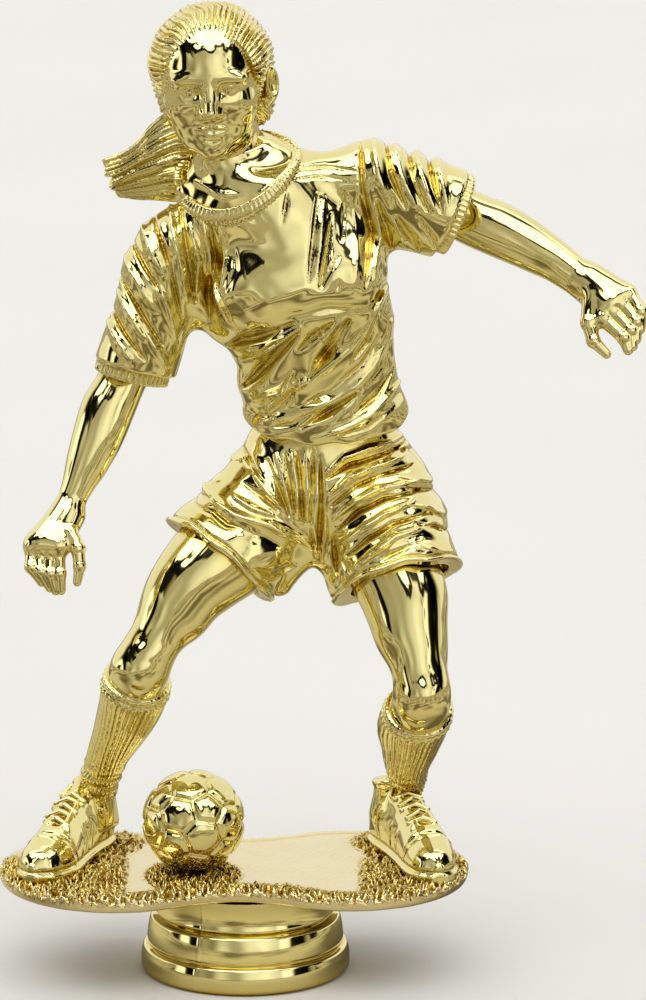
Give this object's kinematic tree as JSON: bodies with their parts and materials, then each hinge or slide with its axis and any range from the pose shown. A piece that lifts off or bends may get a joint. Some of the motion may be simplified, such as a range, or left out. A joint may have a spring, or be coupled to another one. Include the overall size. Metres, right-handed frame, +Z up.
{
  "type": "figure trophy",
  "caption": "Gold-plated moulded figure of a footballer dribbling a ball on a turf plate, with a round hollow riser that screws onto a trophy base.",
  "frame": {"origin": "centre of the riser's resting face, at the mouth of the rod hole", "axes": "+Z up along the riser and the trophy rod, -Y the way the figure faces, +X to the figure's left"},
  "size_m": [0.107, 0.041, 0.165],
  "materials": {
    "gold_plate": "vacuum-metallised mirror gold under clear lacquer on moulded plastic",
    "zinc_steel": "bright zinc-plated steel"
  },
  "bodies": {
    "root": {"riser": "gold_plate", "hex_nut": "zinc_steel", "turf_plate": "gold_plate", "ball_front_shell": "gold_plate", "ball_back_shell": "gold_plate", "right_boot": "gold_plate", "left_boot": "gold_plate", "right_leg": "gold_plate", "left_leg": "gold_plate", "shorts_front_shell": "gold_plate", "shorts_back_shell": "gold_plate", "torso_front_shell": "gold_plate", "torso_back_shell": "gold_plate", "right_arm": "gold_plate", "left_arm": "gold_plate", "head_front_shell": "gold_plate", "head_back_shell": "gold_plate", "ponytail": "gold_plate"}
  },
  "joints": []
}
